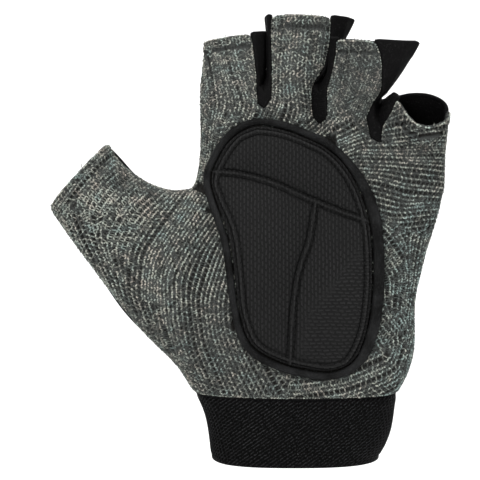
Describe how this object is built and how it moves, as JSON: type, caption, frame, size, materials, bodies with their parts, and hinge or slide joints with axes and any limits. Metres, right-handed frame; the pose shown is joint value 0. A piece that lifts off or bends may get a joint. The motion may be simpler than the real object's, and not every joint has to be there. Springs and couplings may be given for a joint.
{
  "type": "weightlifting glove",
  "caption": "Left fingerless training glove with a grey mesh palm, quilted black palm pad, black stretch back and an elastic wrist band.",
  "frame": {"origin": "middle of the wrist opening, level with the band's lower edge at mid-depth", "axes": "+Z from the wrist towards the fingertips, -Y out of the palm side, +X towards the little finger's side"},
  "size_m": [0.1593, 0.0527, 0.1808],
  "materials": {
    "palm_mesh": "grey melange open mesh knit, light strands over dark holes",
    "stretch_knit": "plain black stretch knit, matt with a faint sheen",
    "elastic": "black woven elastic with fine diagonal ridges and a plain selvedge",
    "edging": "smooth black bound strip with two rows of stitches inside it",
    "cushion": "black ribbed fabric over foam, slight satin sheen"
  },
  "bodies": {
    "root": {"palm_panel": "palm_mesh", "back_panel": "stretch_knit", "gusset_index_middle": "stretch_knit", "gusset_middle_ring": "stretch_knit", "gusset_ring_little": "stretch_knit", "wrist_band": "elastic", "pad_edging": "edging", "pad_cushion": "cushion"}
  },
  "joints": []
}
